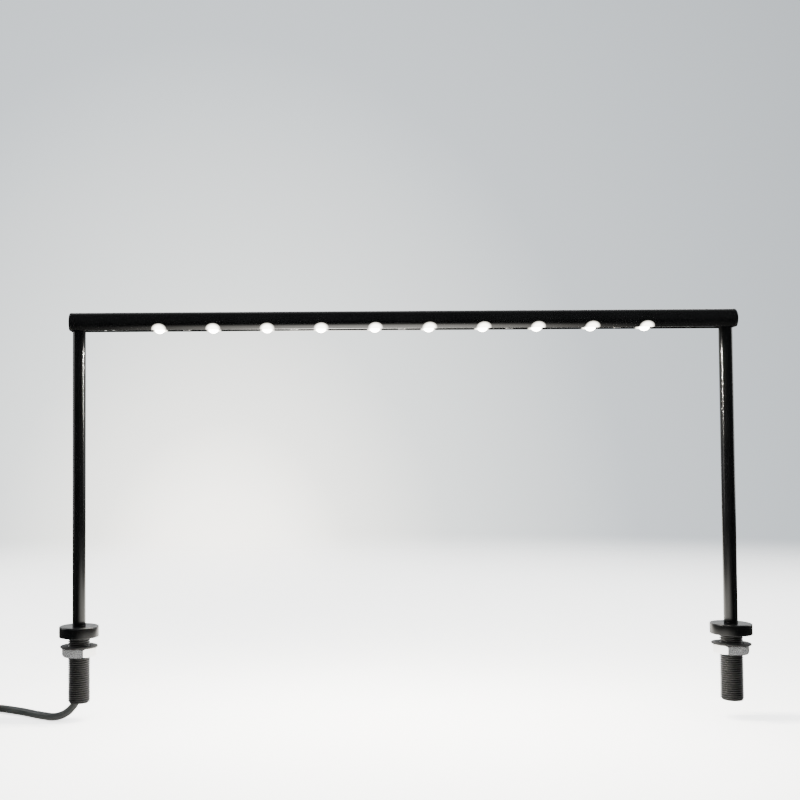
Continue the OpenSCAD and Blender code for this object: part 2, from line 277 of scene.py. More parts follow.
def lit_surface(name, colour, strengths):
    """A lit material whose strength goes from the lenses' lowest point to their highest one."""
    made = Shader(bpy.data.materials.new(name)).set(Roughness=0.15, Specular_IOR_Level=0.5)
    strength = made.spread(made.place()["Z"], (LENS_LOW, LENS_HIGH, *strengths), "LINEAR")
    tint = made.colours(made.noise(made.coordinates(), 0.8), shade(colour, 0.94), colour)
    made.link(tint, made.principled.inputs["Base Color"])
    made.link(tint, made.principled.inputs["Emission Color"])
    made.link(strength, made.principled.inputs["Emission Strength"])
    return made.material


LENS_LOW, LENS_HIGH = height("led_lenses")
MATERIALS["lens"] = lit_surface("lens", (1.0, 0.965, 0.88), (26.0, 9.0))
MATERIALS["phosphor"] = lit_surface("phosphor", (1.0, 0.93, 0.7), (20.0, 16.0))

SPILL_FROM = 1.5    # the painted glow is even up to this distance from an LED
SPILL_TO = 3.7      # and has faded out at this one
SPILL_STRENGTH = 9.0
SPILL_RISE = 1.35   # how much faster it fades upwards than along the bar


def add_painted_spill(material):
    """Painted light: a glow painted as emission on the bar's lips just beside each LED's lens, standing
    in for the light it spills.
    """
    made = Shader(material).set(Emission_Color=(1.0, 0.96, 0.85, 1))
    x, _, z = made.place()
    share = made.compute("FRACT", made.compute("DIVIDE", x, LED_PITCH))
    beside = made.compute("MULTIPLY", made.compute("SUBTRACT", share, 0.5), LED_PITCH)
    above = made.compute("MULTIPLY", made.compute("SUBTRACT", z, BAR_Z + FLAT_Z), SPILL_RISE)
    squares = made.compute("ADD", made.compute("MULTIPLY", beside, beside),
                           made.compute("MULTIPLY", above, above))
    glow = made.spread(made.compute("SQRT", squares), (SPILL_FROM, SPILL_TO, SPILL_STRENGTH, 0))
    within = made.compute("LESS_THAN", made.compute("ABSOLUTE", x), LED_COUNT * LED_PITCH / 2)
    strength = made.compute("MULTIPLY", glow, within)
    made.link(strength, made.principled.inputs["Emission Strength"])


# The bar's material gets the painted glow beside each LED
add_painted_spill(MATERIALS["anodised_bar"])

# ---- Mesh helpers, all in millimetres ----


def rounded(corners, steps=4):
    """The points of a closed outline whose corners (a, b, radius) are turned into arcs."""
    points = []
    for i, (a, b, radius) in enumerate(corners):
        here = Vector((a, b))
        if not radius:
            points.append(here)
            continue
        before = (Vector(corners[i - 1][:2]) - here).normalized()
        after = (Vector(corners[(i + 1) % len(corners)][:2]) - here).normalized()
        half = before.angle(after) / 2
        middle = here + (before + after).normalized() * radius / math.sin(half)
        reach = radius / math.tan(half)
        start, end = (here + side * reach - middle for side in (before, after))
        turn = math.remainder(math.atan2(end.y, end.x) - math.atan2(start.y, start.x), math.tau)
        for k in range(steps + 1):
            angle = math.atan2(start.y, start.x) + turn * k / steps
            points.append(middle + radius * Vector((math.cos(angle), math.sin(angle))))
    return points


# Each turns a shape's own Z axis to point along the named axis
AXES = {
    "+Z": Matrix.Identity(3),
    "+X": Matrix(((0, 0, 1), (1, 0, 0), (0, 1, 0))),
    "-X": Matrix(((0, 0, -1), (-1, 0, 0), (0, 1, 0))),
}
UV_ROUND = 30    # how far the texture's first coordinate runs in one turn


def lathe(bm, outline, place, axis="+Z", segments=96, edge_slot=0, edge_step=0):
    """Revolves a closed outline of (radius, height) points about an axis through place.
    Steps of the outline that are shorter than edge_step get the material slot edge_slot."""
    turn = AXES[axis]
    uv = bm.loops.layers.uv.verify()
    rings = []
    for radius, along in outline:
        ring = []
        for k in range(segments):
            angle = math.tau * k / segments
            local = Vector((radius * math.cos(angle), radius * math.sin(angle), along))
            ring.append(bm.verts.new(Vector(place) + turn @ local))
        rings.append(ring)
    travelled = 0.0
    for i, ring in enumerate(rings):
        after = rings[(i + 1) % len(rings)]
        step = (Vector(outline[(i + 1) % len(rings)]) - Vector(outline[i])).length
        for k in range(segments):
            j = (k + 1) % segments
            face = bm.faces.new((ring[k], ring[j], after[j], after[k]))
            if step < edge_step:
                face.material_index = edge_slot
            for loop, u, v in zip(face.loops, (k, k + 1, k + 1, k), (0, 0, step, step)):
                loop[uv].uv = (u / segments * UV_ROUND, travelled + v)
        travelled += step


def extrude_x(bm, outlines, x0, x1):
    """Extrudes closed outlines of (y, z) points along X; the inner ones are holes."""
    ends = {x0: [], x1: []}
    for outline in outlines:
        loops = {x: [bm.verts.new((x, y, z)) for y, z in outline] for x in (x0, x1)}
        count = len(outline)
        for k in range(count):
            j = (k + 1) % count
            bm.faces.new((loops[x0][k], loops[x0][j], loops[x1][j], loops[x1][k]))
            for x in (x0, x1):
                ends[x].append(bm.edges.get((loops[x][k], loops[x][j])))
    for edges in ends.values():
        bmesh.ops.triangle_fill(bm, use_beauty=True, use_dissolve=False, edges=edges)


def block(bm, low, high, bevel=0.05, slot=0):
    """A box with its edges rounded off a little."""
    made = bmesh.ops.create_cube(bm, size=1)["verts"]
    low, high = Vector(low), Vector(high)
    bmesh.ops.scale(bm, vec=high - low, verts=made)
    bmesh.ops.translate(bm, vec=(low + high) / 2, verts=made)
    faces = {f for v in made for f in v.link_faces}
    for face in faces:
        face.material_index = slot
    edges = list({e for v in made for e in v.link_edges})
    bmesh.ops.bevel(bm, geom=edges, offset=bevel, segments=2, profile=0.5, affect="EDGES")


SHARP = 32    # degrees between faces that meet in a sharp edge


def to_object(name, bm, materials, sharp=SHARP):
    """Makes an object, in metres, of a mesh in millimetres."""
    bmesh.ops.remove_doubles(bm, verts=bm.verts, dist=1e-4)
    bmesh.ops.recalc_face_normals(bm, faces=bm.faces)
    bmesh.ops.scale(bm, vec=(MM, MM, MM), verts=bm.verts)
    mesh = bpy.data.meshes.new(name)
    bm.to_mesh(mesh)
    bm.free()
    for material in materials:
        mesh.materials.append(MATERIALS[material])
    mesh.shade_smooth()
    mesh.set_sharp_from_angle(angle=math.radians(sharp))
    obj = bpy.data.objects.new(name, mesh)
    scene.collection.objects.link(obj)
    return obj


def drill(obj, cutters):
    """Cuts each (outline, place, axis) lathe shape out of obj; the cut faces get its last material."""
    for outline, place, axis in cutters:
        bm = bmesh.new()
        lathe(bm, outline, place, axis, 64)
        tool = to_object("cutter", bm, [m.name for m in obj.data.materials])
        for face in tool.data.polygons:
            face.material_index = len(obj.data.materials) - 1
        cut = obj.modifiers.new("cut", "BOOLEAN")
        cut.operation = "DIFFERENCE"
        cut.solver = "EXACT"
        cut.object = tool
        bpy.context.view_layer.update()
        made = bpy.data.meshes.new_from_object(obj.evaluated_get(bpy.context.evaluated_depsgraph_get()))
        obj.modifiers.clear()
        old = obj.data
        obj.data = made
        made.name = old.name
        bpy.data.meshes.remove(old)
        bpy.data.objects.remove(tool)
    obj.data.shade_smooth()
    obj.data.set_sharp_from_angle(angle=math.radians(SHARP))
    return obj


def place_piece(obj, body, nodes):
    """Tells the frame what a piece rides on and the CAD nodes it replaces."""
    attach(obj, body)
    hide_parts(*nodes)
    return obj


# ---- Cord: the route and the hank are the CAD model's, in millimetres ----

CORD_D = 3.5
HANK_LAYERS = 4
TURN_STEPS = 24
MOVE_FROM = 0.55    # the share of a turn from which it moves over to the next turn's place
CLIMB_TO = 0.35     # the share of a layer's first turn in which it climbs onto the layer below
STUD_AXIS = Vector((POST_X["left"], 0, 0))
CORD_ROUTE = [(0, 0, -14), (0, 0, -19), (0, 0, -24), (-0.4, 0, -27), (-1.5, 0, -29.8),
              (-3.2, 0, -32.4), (-5.6, 0, -34.6), (-8.6, 0, -36.1), (-12, 0.2, -36.7),
              (-16, 1.8, -36.7), (-20.5, 4.4, -36.7), (-26, 8.2, -36.7), (-33, 12, -36.6),
              (-40, 15.2, -36.5), (-47, 17.4, -36.4), (-54, 18.5, -36.3), (-61, 18.75, -36.25)]
TAIL_SHAPE = [(0, 0, 0), (-5, 0, 0.02), (-10, -0.1, 0.12), (-15, -0.5, 0.3), (-20, -1.3, 0.52),
              (-25, -2.3, 0.75), (-30, -3.2, 0.92), (-35, -3.7, 0.99), (-38, -3.75, 1),
              (-41, -3.75, 1)]


def ease(share):
    """0 before the start, 1 after the end, and a smooth change between."""
    share = min(1.0, max(0.0, share))
    return share * share * (3 - 2 * share)


def hank_route(start):
    """Long turns, two side by side in each layer: inwards and outwards in turn. Each turn runs
    -X, round the far end, back along +X and round the near end, where it moves over."""
    low, high = span("cord_hank")
    outer = (high.y - low.y - CORD_D) / 2
    inner = outer - 2 * CORD_D
    near, far = high.x - outer - CORD_D / 2, low.x + outer + CORD_D / 2
    middle = start.y - outer

    part = TURN_STEPS // 6    # a turn has two straight parts and four quarter bends

    def point(step, radius, z):
        if step < part:
            x, angle = near + (far - near) * step / part, 90
        elif step < 3 * part:
            x, angle = far, 90 + 90 * (step - part) / part
        elif step < 4 * part:
            x, angle = far + (near - far) * (step - 3 * part) / part, 270
        else:
            x, angle = near, 270 + 90 * (step - 4 * part) / part
        angle = math.radians(angle)
        return Vector((x + radius * math.cos(angle), middle + radius * math.sin(angle), z))

    points = []
    for layer in range(HANK_LAYERS):
        for turn in range(2):
            for step in range(TURN_STEPS):
                share = step / TURN_STEPS
                moved = CORD_D * (turn + ease((share - MOVE_FROM) / (1 - MOVE_FROM)))
                climb = 1 if turn or not layer else ease(share / CLIMB_TO)
                z = start.z + CORD_D * (max(layer - 1, 0) + climb * min(layer, 1))
                points.append(point(step, inner + moved if layer % 2 else outer - moved, z))
    z = start.z + CORD_D * (HANK_LAYERS - 1)
    points += [point(step, outer, z) for step in range(part)]
    return points[1:], Vector((far, start.y, z))


def make_cord():
    """The whole cord as one curve, from the stud through the hank to the plug."""
    route = [STUD_AXIS + Vector(p) for p in CORD_ROUTE]
    hank, tail = hank_route(route[-1])
    drop = centre("plug_body").z - tail.z
    route += hank + [tail + Vector((x, y, drop * down)) for x, y, down in TAIL_SHAPE]
    curve = bpy.data.curves.new("power_lead", "CURVE")
    curve.dimensions = "3D"
    curve.resolution_u = 6
    curve.bevel_depth = CORD_D / 2 * MM
    curve.bevel_resolution = 5
    curve.use_fill_caps = True
    spline = curve.splines.new("BEZIER")
    spline.bezier_points.add(len(route) - 1)
    for target, point in zip(spline.bezier_points, route):
        target.co = point * MM
        target.handle_left_type = target.handle_right_type = "AUTO"
    curve.materials.append(MATERIALS["cord_jacket"])
    cord = bpy.data.objects.new("power_lead", curve)
    scene.collection.objects.link(cord)
    return place_piece(cord, "frame", ["power_cord", "cord_hank", "cord_tail"])


def make_tie():
    """A flat strap round the hank's middle, with rounded corners."""
    low, high = span("cord_tie")
    thick = 0.45
    steps = 8
    hole = CORD_D / 2
    rim = hole + thick
    outer = rounded([(low.y, low.z, rim), (high.y, low.z, rim), (high.y, high.z, rim),
                     (low.y, high.z, rim)], steps)
    inner = rounded([(low.y + thick, low.z + thick, hole), (high.y - thick, low.z + thick, hole),
                     (high.y - thick, high.z - thick, hole),
                     (low.y + thick, high.z - thick, hole)], steps)
    bm = bmesh.new()
    extrude_x(bm, [outer, inner], low.x, high.x)
    return place_piece(to_object("hank_tie", bm, ["tie_black"]), "frame", ["cord_tie"])


def make_plug():
    """The DC plug's parts, turned about the plug's axis, which points along -X."""
    low, high = span("plug_body")
    y, z = centre("plug_body").y, centre("plug_body").z
    relief_low, relief_high = span("plug_relief")
    start = Vector((relief_high.x, y, z))
    relief = relief_high.x - relief_low.x
    body = high.x - low.x
    body_r = round((high.y - low.y) / 2, 2)
    bore, thin, thick, groove = 1.2, 2.3, 3.3, 0.5
    outline = [(bore, 0, 0), (thin, 0, 0.3)]
    steps = 9
    for i in range(1, steps, 2):
        for share, cut in ((i, 0), (i, groove), (i + 1, groove), (i + 1, 0)):
            along = relief * share / steps
            outline.append((thin + (thick - thin) * along / relief - cut, along, 0.12))
    outline += [(thick, relief, 0), (bore, relief, 0)]
    bm = bmesh.new()
    lathe(bm, rounded(outline, 3), start, "-X", 64)
    pieces = [place_piece(to_object("plug_strain_relief", bm, ["plug_black"]), "frame",
                          ["plug_relief"])]

    bore, neck, shoulder, groove = 1.0, 3.5, 4, 0.35
    outline = [(bore, relief, 0), (neck, relief, 0.3), (body_r, relief + shoulder, 1.5)]
    for i in range(5):
        along = relief + 6.5 + 1.8 * i
        outline += [(body_r, along, 0.1), (body_r - groove, along + 0.3, 0.15),
                    (body_r - groove, along + 0.8, 0.15), (body_r, along + 1.1, 0.1)]
    outline += [(body_r, relief + body, 0.6), (bore, relief + body, 0)]
    bm = bmesh.new()
    lathe(bm, rounded(outline, 3), start, "-X", 72)
    pieces.append(place_piece(to_object("plug_shell", bm, ["plug_black"]), "frame",
                              ["plug_body"]))

    front = relief + body
    for name, node, slot, inner_r, outer_r, chamfer in (
        ("plug_sleeve", "plug_barrel", "plug_metal", 2.35, 2.75, 0.12),
        ("plug_ring", "plug_insulator", "plug_inner", 1.4, 2.3, 0.1),
        ("plug_inner_contact", "plug_contact", "contact_metal", 1.05, 1.35, 0.1),
    ):
        size = span(node)
        length = size[1].x - size[0].x
        outline = [(inner_r, front, 0), (outer_r, front, 0), (outer_r, front + length, chamfer),
                   (inner_r, front + length, chamfer)]
        bm = bmesh.new()
        lathe(bm, rounded(outline, 3), start, "-X", 64)
        pieces.append(place_piece(to_object(name, bm, [slot]), "frame", [node]))
    return pieces


lead = make_cord()
on_lead = [make_tie(), *make_plug()]

# ---- Light bar: heights are from the bar's axis, in millimetres ----

WEB_TOP = -0.85
GROOVE_TOP = -1.85
LIP_TOP = FLAT_Z + 0.6
SLOT_HALF = 2.5
GROOVE_HALF = 3.05
CHANNEL_R = BAR_R - 1
BORE_R = 2.0    # the posts' bore


def led_places():
    """The LEDs' places along X."""
    return [(i - (LED_COUNT - 1) / 2) * LED_PITCH for i in range(LED_COUNT)]


def resistor_places():
    """Midway between the two LEDs of each pair."""
    return [(2 * pair + 0.5 - (LED_COUNT - 1) / 2) * LED_PITCH for pair in range(LED_COUNT // 2)]


def arc(radius, start, end, steps):
    """Points (y, z) on a circle round the bar's axis, from one angle in degrees to another."""
    angles = [math.radians(start + (end - start) * k / steps) for k in range(steps + 1)]
    return [(radius * math.cos(a), radius * math.sin(a)) for a in angles]


def bar_outlines():
    """The bar's section, slotted below for the board, and the wire channel in it."""
    flat_half = math.sqrt(BAR_R ** 2 - FLAT_Z ** 2)
    skirt = math.degrees(math.asin(FLAT_Z / BAR_R)) + 4
    outer = [(y, z, 0) for y, z in arc(BAR_R, skirt, 180 - skirt, 120)]
    outer += [(-flat_half, FLAT_Z, 0.28), (-SLOT_HALF, FLAT_Z, 0.12), (-SLOT_HALF, LIP_TOP, 0.08),
              (-GROOVE_HALF, LIP_TOP, 0.05), (-GROOVE_HALF, GROOVE_TOP, 0.05),
              (GROOVE_HALF, GROOVE_TOP, 0.05), (GROOVE_HALF, LIP_TOP, 0.05),
              (SLOT_HALF, LIP_TOP, 0.08), (SLOT_HALF, FLAT_Z, 0.12), (flat_half, FLAT_Z, 0.28)]
    channel_start = math.degrees(math.asin(WEB_TOP / CHANNEL_R))
    channel = arc(CHANNEL_R, channel_start, 180 - channel_start, 64)
    return [[(y, BAR_Z + z) for y, z in rounded(outer)], [(y, BAR_Z + z) for y, z in channel]]


def make_bar():
    """The extruded bar, with holes for the posts and the two supply wires."""
    bm = bmesh.new()
    extrude_x(bm, bar_outlines(), -BAR_HALF, BAR_HALF)
    bar = to_object("light_bar", bm, ["anodised_bar", "bare_edge"])
    hole = POST_R + FIT
    rim = 0.32
    below = FLAT_Z - 1
    outline = [(0, below), (hole + rim + 1, below), (hole + rim, FLAT_Z), (hole, FLAT_Z + rim),
               (hole, 0), (0, 0)]
    cutters = [(outline, (x, 0, BAR_Z), "+Z") for x in POST_X.values()]
    wire_r, wire_low = 0.8, GROOVE_TOP - 0.5
    wire_hole = [(0, wire_low), (wire_r, wire_low), (wire_r, 0), (0, 0)]
    for along, side in ((12, 0.6), (16, -0.6)):
        cutters.append((wire_hole, (POST_X["left"] + along, side, BAR_Z), "+Z"))
    return place_piece(drill(bar, cutters), "frame", ["bar_tube"])


def cut_flat(bm, z):
    """Cuts off what is below z and closes the cut."""
    bmesh.ops.remove_doubles(bm, verts=bm.verts, dist=1e-4)
    geometry = [*bm.verts, *bm.edges, *bm.faces]
    cut = bmesh.ops.bisect_plane(bm, geom=geometry, plane_co=(0, 0, z), plane_no=(0, 0, -1),
                                 clear_outer=True)
    edges = [e for e in cut["geom_cut"] if isinstance(e, bmesh.types.BMEdge)]
    bmesh.ops.triangle_fill(bm, use_beauty=True, edges=edges)


def make_end_plug(side):
    """The end disc with its chamfer and flat, and the spigot that holds the post."""
    sign = -1 if side == "left" else 1
    node = f"{side}_end_plug"
    low, high = span(node)
    tip = high.x if sign > 0 else low.x
    root = low.x if sign > 0 else high.x
    flange, spigot_r, depth = 1.0, CHANNEL_R - 0.05, abs(tip - root)
    place = (root, 0, BAR_Z)
    axis = "+X" if sign > 0 else "-X"
    bm = bmesh.new()
    disc = rounded([(0, depth - flange, 0), (BAR_R, depth - flange, 0.08), (BAR_R, depth, 0.35),
                    (0, depth, 0)], 5)
    lathe(bm, disc, place, axis, 128)
    cut_flat(bm, BAR_Z + FLAT_Z)
    cap = to_object(f"{side}_end_cap", bm, ["anodised_cap"])
    bm = bmesh.new()
    lathe(bm, [(0, 0), (spigot_r, 0), (spigot_r, depth - flange), (0, depth - flange)], place, axis)
    cut_flat(bm, BAR_Z + WEB_TOP + 0.05)
    spigot = to_object(f"{side}_end_spigot", bm, ["anodised_cap", "bare_edge"])
    hole = POST_R + FIT
    post_top = height(f"{side}_post")[1]
    x = POST_X[side]
    reach = abs(x - root)
    wire_r, wire_z, wire_top = 1.2, BAR_Z + 1.5, BAR_Z + 2.6
    below, past = BAR_Z - 3, 1    # cutters start outside what they cut
    drill(spigot, [
        ([(0, below), (hole, below), (hole, post_top), (0, post_top)], (x, 0, 0), "+Z"),
        ([(0, post_top - past), (BORE_R, post_top - past), (BORE_R, wire_top), (0, wire_top)],
         (x, 0, 0), "+Z"),
        ([(0, -past), (wire_r, -past), (wire_r, reach), (0, reach)], (root, 0, wire_z), axis)])
    place_piece(spigot, "frame", [node])
    place_piece(cap, "frame", [node])


def make_board():
    """The LED board, with tinned pads beside each part on its lower face."""
    low, high = span("led_board")
    bm = bmesh.new()
    block(bm, low, high, 0.06)
    pad, trace, sunk = 0.035, 0.02, 0.1    # their thickness, and how deep they go into the board
    # How far a pad's centre stands from its part's, and half its length and width
    for places, off, half_x, half_y in ((led_places(), 2.75, 0.55, 1.1),
                                        (resistor_places(), 1.75, 0.45, 0.95)):
        for x in places:
            for side in (-1, 1):
                block(bm, (x + side * off - half_x, -half_y, low.z - pad),
                      (x + side * off + half_x, half_y, low.z + sunk), 0.01, 1)
    gap = 4.5    # from an LED to the end of the trace beside it
    for x in led_places()[:-1]:
        block(bm, (x + gap, -1.9, low.z - trace), (x + LED_PITCH - gap, -1.5, low.z + sunk), 0.005, 1)
    board = to_object("led_strip_board", bm, ["board", "pad"])
    return place_piece(board, "frame", ["led_board"])


def make_resistors():
    """Chip resistors: dark bodies with tinned ends."""
    low, high = span("chip_resistors")
    body, tip = 1.2, 1.6    # from a resistor's centre to its body's and its metal's end
    bm = bmesh.new()
    for x in resistor_places():
        block(bm, (x - body, low.y, low.z), (x + body, high.y, high.z), 0.04)
        for side in (-1, 1):
            near, far = sorted((x + side * (body - 0.05), x + side * tip))
            block(bm, (near, low.y, low.z), (far, high.y, high.z), 0.06, 1)
    made = to_object("resistor_chips", bm, ["chip", "pad"])
    return place_piece(made, "frame", ["chip_resistors"])


def make_lenses():
    """One clear dome over each LED."""
    low, high = span("led_lenses")
    dome_r = (high.y - low.y) / 2
    rise, skirt, steps = 1.2, 0.08, 12
    sphere_r = (dome_r ** 2 + rise ** 2) / (2 * rise)
    top = high.z - low.z
    outline = [(0, top), (dome_r, top), (dome_r, rise + skirt)]
    reach = math.asin(dome_r / sphere_r)
    for k in range(1, steps + 1):
        angle = reach * (1 - k / steps)
        outline.append((sphere_r * math.sin(angle), sphere_r * (1 - math.cos(angle))))
    bm = bmesh.new()
    for x in led_places():
        lathe(bm, outline, (x, 0, low.z), "+Z", 48)
    return place_piece(to_object("lens_domes", bm, ["lens"]), "frame", ["led_lenses"])


make_bar()
for side in POST_X:
    make_end_plug(side)
make_board()
make_resistors()
make_lenses()

# ---- Posts and panel mounts ----


def make_post(side):
    """A plain tube."""
    low, high = height(f"{side}_post")
    outline = rounded([(BORE_R, low, 0.1), (POST_R, low, 0.2), (POST_R, high, 0.2),
                       (BORE_R, high, 0.1)], 3)
    bm = bmesh.new()
    lathe(bm, outline, (POST_X[side], 0, 0), "+Z", 96)
    place_piece(to_object(f"{side}_tube", bm, ["anodised_post"]), "frame", [f"{side}_post"])


def make_collar(side):
    """A round disc that grips the post's foot and the stud's top."""
    low, high = span(f"{side}_collar")
    outer = round((high.x - low.x) / 2, 1)
    bore, step, step_z = POST_R + FIT, STUD_R + FIT, low.z + 2.5
    outline = rounded([(step, low.z, 0), (outer, low.z, 0.35), (outer, high.z, 0.55),
                       (bore, high.z, 0.15), (bore, step_z, 0), (step, step_z, 0)], 6)
    bm = bmesh.new()
    lathe(bm, outline, (POST_X[side], 0, 0), "+Z", 144, edge_slot=1, edge_step=0.2)
    made = to_object(f"{side}_collar_disc", bm, ["collar_black", "collar_edge"], 40)
    place_piece(made, "frame", [f"{side}_collar"])


PITCH = 1.0
THREAD_DEPTH = 0.58
CREST_SHARE = 0.14     # of half a pitch: the flat crest
FLANK_SHARE = 0.66     # and the flank, which rounds off into the root
ROOT_ROUNDING = 1.4
THREAD_STEPS = 12
THREAD_SEGMENTS = 72
THREAD_TOP = -0.2      # above this height the stud is plain, inside its collar
STUD_BORE_R = 4.0
POST_SEAT_Z = -6.0     # the post's lower end sits in the stud's narrower bore above this height
END_CHAMFER = 0.75
CREST_BAND = 0.04      # faces whose radius is this near the stud's get the crest material, a painted highlight


def thread_radius(turns):
    """The thread's radius at a number of turns: a flat crest, flanks and a rounded root."""
    share = abs(2 * (turns % 1) - 1)
    flank = min(1.0, max(0.0, (share - CREST_SHARE) / FLANK_SHARE))
    return STUD_R - THREAD_DEPTH * (1 - (1 - flank) ** ROOT_ROUNDING)


def make_stud(side):
    """A hollow stud with a right-hand thread along its whole length below the collar."""
    low, high = height(f"{side}_stud")
    length = high - low
    x = POST_X[side]
    rows = int(THREAD_STEPS * (length / PITCH + 1))
    bm = bmesh.new()
    grid = []
    for row in range(rows + 1):
        ring = []
        for k in range(THREAD_SEGMENTS):
            turns = row / THREAD_STEPS + k / THREAD_SEGMENTS - 1
            z = min(max(low + PITCH * turns, low), high)
            radius = thread_radius(row / THREAD_STEPS)
            radius = min(radius, STUD_R - END_CHAMFER + (z - low))
            if z > THREAD_TOP:
                radius = STUD_R - FIT
            angle = math.tau * k / THREAD_SEGMENTS
            ring.append(bm.verts.new((x + radius * math.cos(angle), radius * math.sin(angle), z)))
        grid.append(ring)
    for row in range(rows):
        # Crest faces get the lighter material: a painted highlight along the thread
        crest = thread_radius((row + 0.5) / THREAD_STEPS) > STUD_R - CREST_BAND
        for k in range(THREAD_SEGMENTS):
            here = grid[row][k], grid[row + 1][k]
            if k < THREAD_SEGMENTS - 1:
                there = grid[row + 1][k + 1], grid[row][k + 1]
            elif row + 1 + THREAD_STEPS <= rows:
                there = grid[row + 1 + THREAD_STEPS][0], grid[row + THREAD_STEPS][0]
            else:
                continue
            face = bm.faces.new((here[0], here[1], *there))
            face.material_index = int(crest)
    post_r = POST_R + FIT
    inner = []
    for radius, z in ((STUD_BORE_R, low), (STUD_BORE_R, POST_SEAT_Z), (post_r, POST_SEAT_Z),
                      (post_r, high)):
        inner.append([bm.verts.new((x + radius * math.cos(math.tau * k / THREAD_SEGMENTS),
                                    radius * math.sin(math.tau * k / THREAD_SEGMENTS), z))
                      for k in range(THREAD_SEGMENTS)])
    loops = [grid[0], *inner, grid[-1]]
    for first, second in zip(loops, loops[1:]):
        for k in range(THREAD_SEGMENTS):
            j = (k + 1) % THREAD_SEGMENTS
            bm.faces.new((first[k], first[j], second[j], second[k]))
    made = to_object(f"{side}_threaded_stud", bm, ["stud_black", "stud_crest_painted_highlight"], 28)
    place_piece(made, "frame", [f"{side}_stud"])


def make_washer(side):
    """A flat ring with its edges rounded off."""
    low, high = span(f"{side}_washer")
    outer = round((high.x - low.x) / 2, 1)
    bore = STUD_R + 0.3
    outline = rounded([(bore, low.z, 0.12), (outer, low.z, 0.2), (outer, high.z, 0.2),
                       (bore, high.z, 0.12)], 4)
    bm = bmesh.new()
    lathe(bm, outline, (POST_X[side], 0, 0), "+Z", 120)
    made = to_object(f"{side}_washer_disc", bm, ["washer_black"])
    place_piece(made, f"{side}_washer_ring", [f"{side}_washer"])


def make_nut(side, turn):
    """A thin hexagon nut, chamfered at both ends, turned by an angle in degrees."""
    low, high = height(f"{side}_nut")
    flat = 7.0    # half the width across flats
    corner = flat / math.cos(math.radians(30))
    chamfer, slope = 0.9, 0.5    # how far it reaches in from a corner, and its rise over that
    chamfer_r = corner - chamfer
    bore = STUD_R + 0.04
    lead_in = 0.45
    segments = 96
    x = POST_X[side]
    bm = bmesh.new()
    rings = []
    for k in range(segments):
        angle = math.tau * k / segments
        off = math.remainder(angle - math.radians(turn + 30), math.radians(60))
        edge = flat / math.cos(off)
        rise = max(0.0, edge - chamfer_r) * slope
        start = min(edge, chamfer_r)
        section = [(bore + lead_in, low), (start, low), (edge, low + rise), (edge, high - rise),
                   (start, high), (bore + lead_in, high), (bore, high - lead_in),
                   (bore, low + lead_in)]
        rings.append([bm.verts.new((x + r * math.cos(angle), r * math.sin(angle), z))
                      for r, z in section])
    for k in range(segments):
        here, after = rings[k], rings[(k + 1) % segments]
        for i in range(len(here)):
            bm.faces.new((here[i - 1], after[i - 1], after[i], here[i]))
    made = to_object(f"{side}_hex_nut", bm, ["nut_metal"], 20)
    place_piece(made, f"{side}_nut_ring", [f"{side}_nut"])


def make_bush():
    """The rubber ring that holds the cord inside the left stud."""
    low, high = height("cord_bush")
    bore, outer = CORD_D / 2 + FIT, STUD_BORE_R - FIT
    outline = rounded([(bore, low, 0.3), (outer, low, 0.4), (outer, high, 0.3), (bore, high, 0)], 4)
    bm = bmesh.new()
    lathe(bm, outline, (POST_X["left"], 0, 0), "+Z", 72)
    place_piece(to_object("rubber_bush", bm, ["bush_rubber"]), "frame", ["cord_bush"])


NUT_TURN = {"left": -4, "right": -4}    # degrees, as in the CAD model
for side in POST_X:
    make_post(side)
    make_collar(side)
    make_stud(side)
    make_washer(side)
    make_nut(side, NUT_TURN[side])
make_bush()

# CAD nodes that are shown as they are, and their materials
SHOWN_NODES = {"board_tape": "tape", "led_emitters": "phosphor", "solder_joints": "solder",
               "wire_red": "wire_red", "wire_black": "wire_black", "wire_splices": "sleeve"}
for node, material in SHOWN_NODES.items():
    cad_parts[node].data.materials.clear()
    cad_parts[node].data.materials.append(MATERIALS[material])

# ---- Floor, sky and lights ----

# The glow's centre as a direction, and how much faster it fades along each axis
GLOW_CENTRE = (-0.08, 1.0, -0.12)
GLOW_STRETCH = (1.3, 0.6, 1.0)
# How bright the backdrop looks, by how far a direction points away from the glow's centre
GLOW = [(0.0, (5.2, 5.0, 4.6)), (0.1, (4.3, 4.2, 3.9)), (0.18, (2.9, 2.9, 2.75)),
        (0.31, (1.85, 1.93, 1.92)), (0.55, (1.05, 1.13, 1.19)), (1.0, (0.62, 0.67, 0.71))]
GLOW_SCALE = 6    # a colour stop holds 1 at most, so the glow is divided and scaled by this
SKY_COLOUR = (0.97, 0.99, 1.0, 1)
SKY_FILL = 2.4        # the sky's strength as a light
GLOSS_BEHIND = 1.0    # its strength in reflections, behind the lamp and elsewhere
GLOSS_AROUND = 0.05
FLOOR_LIFT = 2.0      # the floor's own brightness
# What the floor shows in shiny parts: a bright patch under the lamp, dark further to the front
SHINE_MOST = 9.0
SHINE_LEAST = 0.12
SHINE_ACROSS = (10, 190)    # it fades between these distances from the middle, in millimetres
SHINE_ALONG = (-320, -60)   # and rises between these places in front of the lamp
FLOOR_HALF = 6.0            # metres
FLOOR_FADE = (250, 1500)    # the floor melts away between these distances, in millimetres


